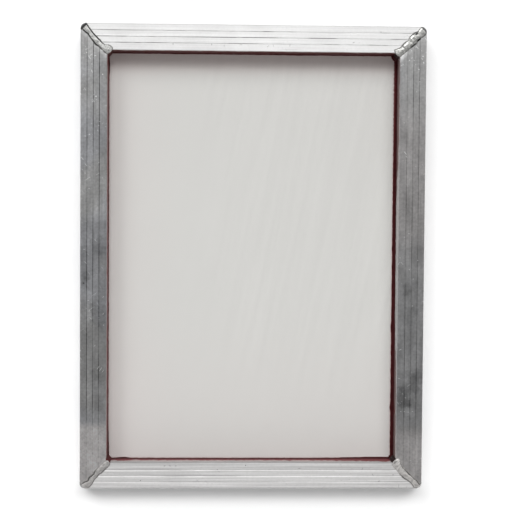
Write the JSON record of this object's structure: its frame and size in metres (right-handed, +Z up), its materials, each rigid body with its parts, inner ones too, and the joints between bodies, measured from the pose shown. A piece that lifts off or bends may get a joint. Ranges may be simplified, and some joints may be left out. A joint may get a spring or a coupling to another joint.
{
  "type": "screen printing frame",
  "caption": "Welded rectangular frame of mitred hollow aluminium rails with a fine white mesh stretched across its underside and glued on with a dark red adhesive.",
  "frame": {"origin": "centre of the underside of the mesh, the plane on which the screen rests", "axes": "+X to the right across the 23 in width, +Y to the back along the 31 in length, +Z up out of the ink well, towards the squeegee"},
  "size_m": [0.5842, 0.7874, 0.0393],
  "materials": {
    "rail_aluminium": "mill finish, extruded, satin with lines along each rail",
    "weld_bead": "rippled weld bead",
    "adhesive": "dark red cured frame adhesive, glossy",
    "mesh_fabric": "fine plain-woven polyester monofilament, white"
  },
  "bodies": {
    "root": {"rail_back": "rail_aluminium", "rail_front": "rail_aluminium", "rail_left": "rail_aluminium", "rail_right": "rail_aluminium", "weld_face_back_left": "weld_bead", "weld_face_back_right": "weld_bead", "weld_face_front_left": "weld_bead", "weld_face_front_right": "weld_bead", "weld_outer_back_left": "weld_bead", "weld_outer_back_right": "weld_bead", "weld_outer_front_left": "weld_bead", "weld_outer_front_right": "weld_bead", "weld_inner_back_left": "weld_bead", "weld_inner_back_right": "weld_bead", "weld_inner_front_left": "weld_bead", "weld_inner_front_right": "weld_bead", "weld_underside_back_left": "weld_bead", "weld_underside_back_right": "weld_bead", "weld_underside_front_left": "weld_bead", "weld_underside_front_right": "weld_bead", "adhesive_back": "adhesive", "adhesive_front": "adhesive", "adhesive_left": "adhesive", "adhesive_right": "adhesive", "corner_seal_back_left": "adhesive", "corner_seal_back_right": "adhesive", "corner_seal_front_left": "adhesive", "corner_seal_front_right": "adhesive", "screen_mesh": "mesh_fabric"}
  },
  "joints": []
}
